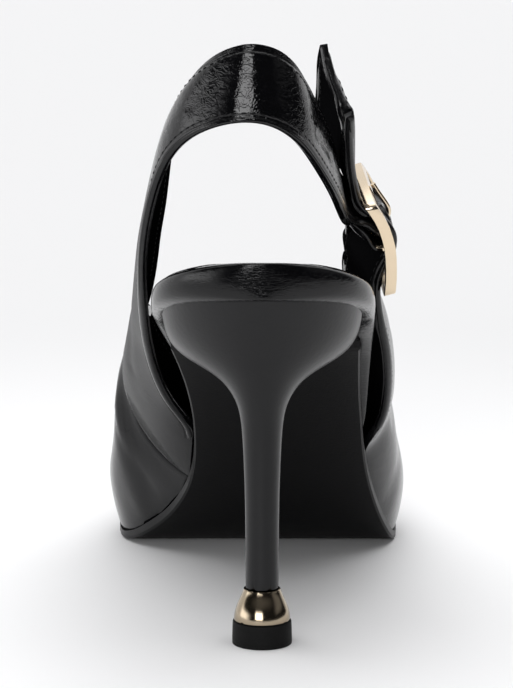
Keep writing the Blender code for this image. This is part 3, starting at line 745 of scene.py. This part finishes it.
def dress_sheet(node, name, seeds, creases, crinkle, gloss, keep, focus=None, lap=None, floor=0.0):
    """Refined leather sheet with its edge rolls, and with stitches above the floor's height."""
    made = copy_node(node, name)
    loops = read_sheet(made, seeds)
    crease_sharp_edges(made, SHEET_HOLD)
    subdivide(made, SHEET_LEVELS)
    press_creases(made, creases)
    runs = [run for loop in loops for run in open_runs(loop, keep)]
    store_edge_gap(made, runs)
    if lap:
        press_lap(made, store_lap_gap(made, lap))
    shade(made, 70)
    face = leather(name + "_leather", crinkle, focus=focus, lap=lap, gloss=gloss)
    materials = face, lining(name + "_lining")
    finish_piece(made, "black_leather", *materials, leather(name + "_edge", 0.4, seam=False))
    tree = surface_tree(made)
    lines = []
    for run in runs:
        middles = [p.centre - p.outward * ROLL_INSET * MM + (p.outer - p.centre) * ROLL_OUT for p in run]
        lines.append([point for point, _ in resample(middles, ROLL_STEP * MM)])
    roll = tube(name + "_roll", lines, ROLL_RADIUS * MM)
    finish_piece(roll, "black_leather", leather(name + "_roll_leather", 0.5, seam=False))
    places = []
    for run in runs:
        places += seam_places(run, tree, floor)
        places += seam_places(run, tree, floor, inner=True)
    stitches = lay_stitches(name + "_stitches", places)
    finish_piece(stitches, "black_leather", thread(name + "_thread"))
    return made


def clear_of(nodes, distance):
    """Test for rim points that lie further than a distance from some CAD nodes."""
    trees = [surface_tree(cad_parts[node]) for node in nodes]

    def keep(point):
        return all(tree.find_nearest(point.centre)[3] > distance * MM for tree in trees)

    return keep


def wrap_seat(seat):
    """Draw the seat's overhanging edge down over the sole, nearly to the heel's top."""
    tree = surface_tree(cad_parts["outsole"])
    heights = [vertex.normal.z for vertex in seat.data.vertices]
    for vertex, height in zip(seat.data.vertices, heights):
        x, y, _ = vertex.co
        share = min(1.0, max(0.0, (WRAP_FRONT * MM - y) / (WRAP_EASE * MM)))
        if share and tree.ray_cast(Vector((x, y, 0)), Vector((0, 0, 1)))[0] is None:
            vertex.co.z -= WRAP_DEPTH * MM * share * min(1.0, max(0.0, WRAP_SIDE - height))
    seat.data.update()


def look_down(tree, x, y):
    """Where a line straight down meets the insole, and the face's normal there."""
    return tree.ray_cast(Vector((x, y, SOCK_LOOK_FROM)) * MM, Vector((0, 0, -1)))[:2]


def make_sock(seat):
    """Thin sock of lining leather lying on the insole, a little in from its sides."""
    tree = surface_tree(seat)
    rows = []
    for y in np.arange(SOCK_BACK, SOCK_FRONT + 0.1, SOCK_STEP):
        flat = []
        for x in np.arange(-SOCK_LOOK_SIDE, SOCK_LOOK_SIDE, SOCK_LOOK_STEP):
            hit, normal = look_down(tree, x, y)
            if hit and normal.z > SOCK_FLATNESS:
                flat.append(x)
        if len(flat) > 4:
            rows.append((y, flat[0], flat[-1]))
    table = np.array(rows)
    for column in (1, 2):
        padded = np.pad(table[:, column], 2, "edge")
        table[:, column] = np.convolve(padded, np.ones(5) / 5, "valid")
    mesh_points = []
    for y, low, high in table:
        low, high = low + SOCK_INSET, high - SOCK_INSET
        middle, _ = look_down(tree, (low + high) / 2, y)
        for share in np.linspace(0, 1, SOCK_COLUMNS):
            x = low + (high - low) * share
            hit, normal = look_down(tree, x, y)
            if hit is None:
                hit, normal, _, _ = tree.find_nearest(Vector((x * MM, y * MM, middle.z)))
            mesh_points.append(hit + normal * SOCK_LIFT * MM)
    faces = []
    for row in range(len(table) - 1):
        for column in range(SOCK_COLUMNS - 1):
            corner = row * SOCK_COLUMNS + column
            faces.append((corner, corner + 1, corner + 1 + SOCK_COLUMNS, corner + SOCK_COLUMNS))
    mesh = bpy.data.meshes.new("sock")
    mesh.from_pydata(mesh_points, [], faces)
    sock = bpy.data.objects.new("sock", mesh)
    bpy.context.scene.collection.objects.link(sock)
    apply_modifier(sock, "SOLIDIFY", thickness=SOCK_THICKNESS * MM, offset=-1)
    subdivide(sock, 1)
    shade(sock, 60)
    finish_piece(sock, "black_lining", lining("sock_lining"))


class PumpSizes(bpy.types.PropertyGroup):
    """Sizes that a user would change."""

    vamp_crinkle: FloatProperty(
        name="Vamp crinkle", description="Depth of the vamp's fine wrinkles", default=0.5, min=0, max=3
    )
    sling_crinkle: FloatProperty(
        name="Sling crinkle", description="Depth of the sling's fine wrinkles", default=0.7, min=0, max=3
    )
    metal_color: FloatVectorProperty(
        name="Metal",
        description="Colour of the buckle and the heel's collar",
        subtype="COLOR",
        default=(0.80, 0.66, 0.48),
    )


class PUMP_OT_vamp(bpy.types.Operator):
    """Leather upper with its buckle strap, rolled edges and seams"""

    bl_idname = "pump.vamp"
    bl_label = "Vamp and buckle strap"

    def execute(self, context):
        keep = clear_of(("outsole", "sling_strap"), VAMP_CLEAR)
        crinkle = context.scene.pump.vamp_crinkle
        sheet = "vamp", "upper", VAMP_SEEDS, VAMP_CREASES
        dress_sheet(*sheet, crinkle, VAMP_GLOSS, keep, lap="sling_strap")
        return {"FINISHED"}


class PUMP_OT_sling(bpy.types.Operator):
    """Sling with its wing, rolled edges and seams"""

    bl_idname = "pump.sling"
    bl_label = "Sling"

    def execute(self, context):
        keep = clear_of(("outsole", "buckle_frame"), SLING_CLEAR)
        crinkle = context.scene.pump.sling_crinkle
        sheet = "sling_strap", "sling", SLING_SEEDS, SLING_CREASES
        dress_sheet(*sheet, crinkle, SLING_GLOSS, keep, focus=BACK_HEIGHTS, floor=STITCHED_ABOVE)
        return {"FINISHED"}


class PUMP_OT_sole(bpy.types.Operator):
    """Insole with its wrapped seat, and the outsole"""

    bl_idname = "pump.sole"
    bl_label = "Insole and outsole"

    def execute(self, context):
        seat = copy_node("insole", "insole_cover")
        subdivide(seat, 2)
        wrap_seat(seat)
        shade(seat, 60)
        wrapped = leather("seat_leather", 0.4, seam=False, gloss=SEAT_GLOSS, band=3.0, shine=0.25)
        finish_piece(seat, "black_lining", wrapped)
        make_sock(seat)
        sole = copy_node("outsole", "outsole_shaped")
        crease_sharp_edges(sole, SOLE_HOLD, math.radians(SOLE_CORNER))
        subdivide(sole, 3)
        bm = bmesh.new()
        bm.from_mesh(sole.data)
        under = flat_region(bm, SOLE_SEED, math.radians(SOLE_UNDERSIDE))
        numbers = [0 if face in under else 1 for face in bm.faces]
        bm.free()
        sole.data.polygons.foreach_set("material_index", numbers)
        finish_piece(sole, "black_sole", tread_black("tread"), sole_edge("sole_edge"))
        apply_modifier(sole, "BEVEL", width=0.18 * MM, segments=2, limit_method="ANGLE")
        shade(sole, SOLE_SHADE)
        return {"FINISHED"}


class PUMP_OT_heel(bpy.types.Operator):
    """Lacquered heel, its metal collar and the rubber lift"""

    bl_idname = "pump.heel"
    bl_label = "Heel, collar and lift"

    def execute(self, context):
        heel = copy_node("heel", "heel_block")
        crease_sharp_edges(heel, TURNED_HOLD)
        subdivide(heel, 3)
        shade(heel, 50)
        store_lap_gap(heel, "outsole")
        finish_piece(heel, "black_heel", heel_lacquer("heel_satin"))
        # The buckle's gold, painted darker for the collar: painted shade
        darker = [channel * COLLAR_PAINTED_SHADE for channel in context.scene.pump.metal_color]
        collar = copy_node("heel_collar", "collar")
        crease_sharp_edges(collar, TURNED_HOLD)
        subdivide(collar, 2)
        shade(collar, 40)
        finish_piece(collar, "pale_gold", plating("collar_gold_painted_shade", darker))
        lift = copy_node("top_lift", "lift")
        crease_sharp_edges(lift, LIFT_HOLD, math.radians(30))
        subdivide(lift, 2)
        shade(lift, 40)
        finish_piece(lift, "black_rubber", rubber("lift_rubber"))
        return {"FINISHED"}


class PUMP_OT_buckle(bpy.types.Operator):
    """Polished frame and prong"""

    bl_idname = "pump.buckle"
    bl_label = "Buckle"

    def execute(self, context):
        gold = plating("buckle_gold", context.scene.pump.metal_color)
        buckle = copy_node("buckle_frame", "buckle")
        apply_modifier(buckle, "BEVEL", width=0.35 * MM, segments=3, limit_method="ANGLE")
        shade(buckle, 45)
        finish_piece(buckle, "pale_gold", gold)
        prong = copy_node("buckle_prong", "prong")
        crease_sharp_edges(prong, PRONG_HOLD)
        subdivide(prong, 2)
        shade(prong, 60)
        finish_piece(prong, "pale_gold", gold)
        return {"FINISHED"}


class PUMP_OT_stage(bpy.types.Operator):
    """Pale floor, soft light and the photograph's camera"""

    bl_idname = "pump.stage"
    bl_label = "Stage"

    def execute(self, context):
        context.scene.view_settings.view_transform = "Standard"
        make_floor()
        make_world()
        make_camera()
        return {"FINISHED"}


def make_floor():
    """White paper that ends a little way towards the camera, so that the leather mirrors the dark."""
    bpy.ops.object.select_all(action="DESELECT")
    bpy.ops.mesh.primitive_plane_add(size=PAPER_SIZE, location=(0, PAPER_SIZE / 2 - PAPER_BACK, 0))
    bpy.ops.object.transform_apply(location=True, rotation=False, scale=False)
    floor = bpy.context.active_object
    floor.name = "floor"
    finish = Finish("floor_paper", Metallic=0.0, Specular_IOR_Level=0.1)
    fibre = finish.noise(finish.place(), 300, 2.0)
    away = add_node(finish.tree, "ShaderNodeVectorMath", {"operation": "LENGTH"}, [finish.place()], 1)
    # Painted light: the paper is lighter near the shoe and fades to its plain tone further away
    finish.feed("Base Color", finish.mix(away.between(*PAPER_PAINTED_LIGHT_FADE), PAPER_NEAR_PAINTED_LIGHT, PAPER_FAR))
    finish.feed("Roughness", fibre * 0.1 + 0.6)
    floor.data.materials.append(finish.material)


def make_world():
    """Light by its direction from the shoe. The camera itself sees plain white all round.

    Right, ahead and up are the parts of a direction's unit vector, and each light fades in or out
    between two values of one of them.
    """
    world = bpy.data.worlds.new("studio")
    bpy.context.scene.world = world
    world.use_nodes = True
    tree = world.node_tree
    background = tree.nodes["Background"]
    place = add_node(tree, "ShaderNodeTexCoord", output=0)
    parts = tree.nodes.new("ShaderNodeSeparateXYZ")
    tree.links.new(place.link, parts.inputs[0])
    right, ahead, up = (Socket(tree, output) for output in parts.outputs)
    beyond = (ahead - right.between(0, 1) * SKEW).between(0.0, 0.4) * BEYOND
    above = up.between(0.6, 0.9) * (1 - (0 - ahead).between(0.25, 0.6)) * ABOVE
    left = (0 - right).between(0.55, 0.9) * ahead.between(-0.75, -0.2) * LEFT
    left = left * (1 - ahead.between(0.05, 0.4)) * (1 - up.between(0.18, 0.3))
    faint = right.between(0.75, 0.95) * up.between(0.15, 0.3) * FAINT_RIGHT
    faint = faint + (0 - ahead).between(0.3, 0.5) * up.between(0.4, 0.8) * FAINT_BEHIND
    box = 1 - abs(right - BOX_RIGHT).between(BOX_HALF * 0.75, BOX_HALF)
    box = box * (0 - ahead).between(0.4, 0.5) * up.between(0.03, 0.1)
    box = box * (1 - up.between(0.3, 0.42)) * BOX
    glow = beyond + above + left + faint + box + DIM
    seen = add_node(tree, "ShaderNodeLightPath")
    strength = glow + seen * (1 - glow)
    background.inputs["Color"].default_value = STUDIO_WHITE
    tree.links.new(strength.link, background.inputs["Strength"])


def make_camera():
    """Camera of the photograph."""
    data = bpy.data.cameras.new("camera")
    data.sensor_width = SENSOR
    data.lens = FOCAL_PIXELS * SENSOR / max(FRAME_PIXELS)
    data.clip_start = 0.01
    camera = bpy.data.objects.new("camera", data)
    camera.location = CAMERA_PLACE
    camera.rotation_euler = (math.pi / 2 - CAMERA_TILT, 0, 0)
    bpy.context.scene.collection.objects.link(camera)
    bpy.context.scene.camera = camera


class PUMP_PT_panel(bpy.types.Panel):
    """Lists the pump's pieces"""

    bl_idname = "PUMP_PT_panel"
    bl_label = "Slingback pump"
    bl_space_type = "VIEW_3D"
    bl_region_type = "UI"
    bl_category = "Pump"

    def draw(self, context):
        for name in PumpSizes.__annotations__:
            self.layout.prop(context.scene.pump, name)
        for operator in OPERATORS:
            self.layout.operator(operator.bl_idname)


OPERATORS = (PUMP_OT_vamp, PUMP_OT_sling, PUMP_OT_sole, PUMP_OT_heel, PUMP_OT_buckle, PUMP_OT_stage)
CLASSES = (PumpSizes, *OPERATORS, PUMP_PT_panel)


def register():
    for item in CLASSES:
        bpy.utils.register_class(item)
    bpy.types.Scene.pump = PointerProperty(type=PumpSizes)


def unregister():
    del bpy.types.Scene.pump
    for item in reversed(CLASSES):
        bpy.utils.unregister_class(item)


def main():
    register()
    for operator in OPERATORS:
        group, name = operator.bl_idname.split(".")
        getattr(getattr(bpy.ops, group), name)()


if __name__ == "__main__":
    main()
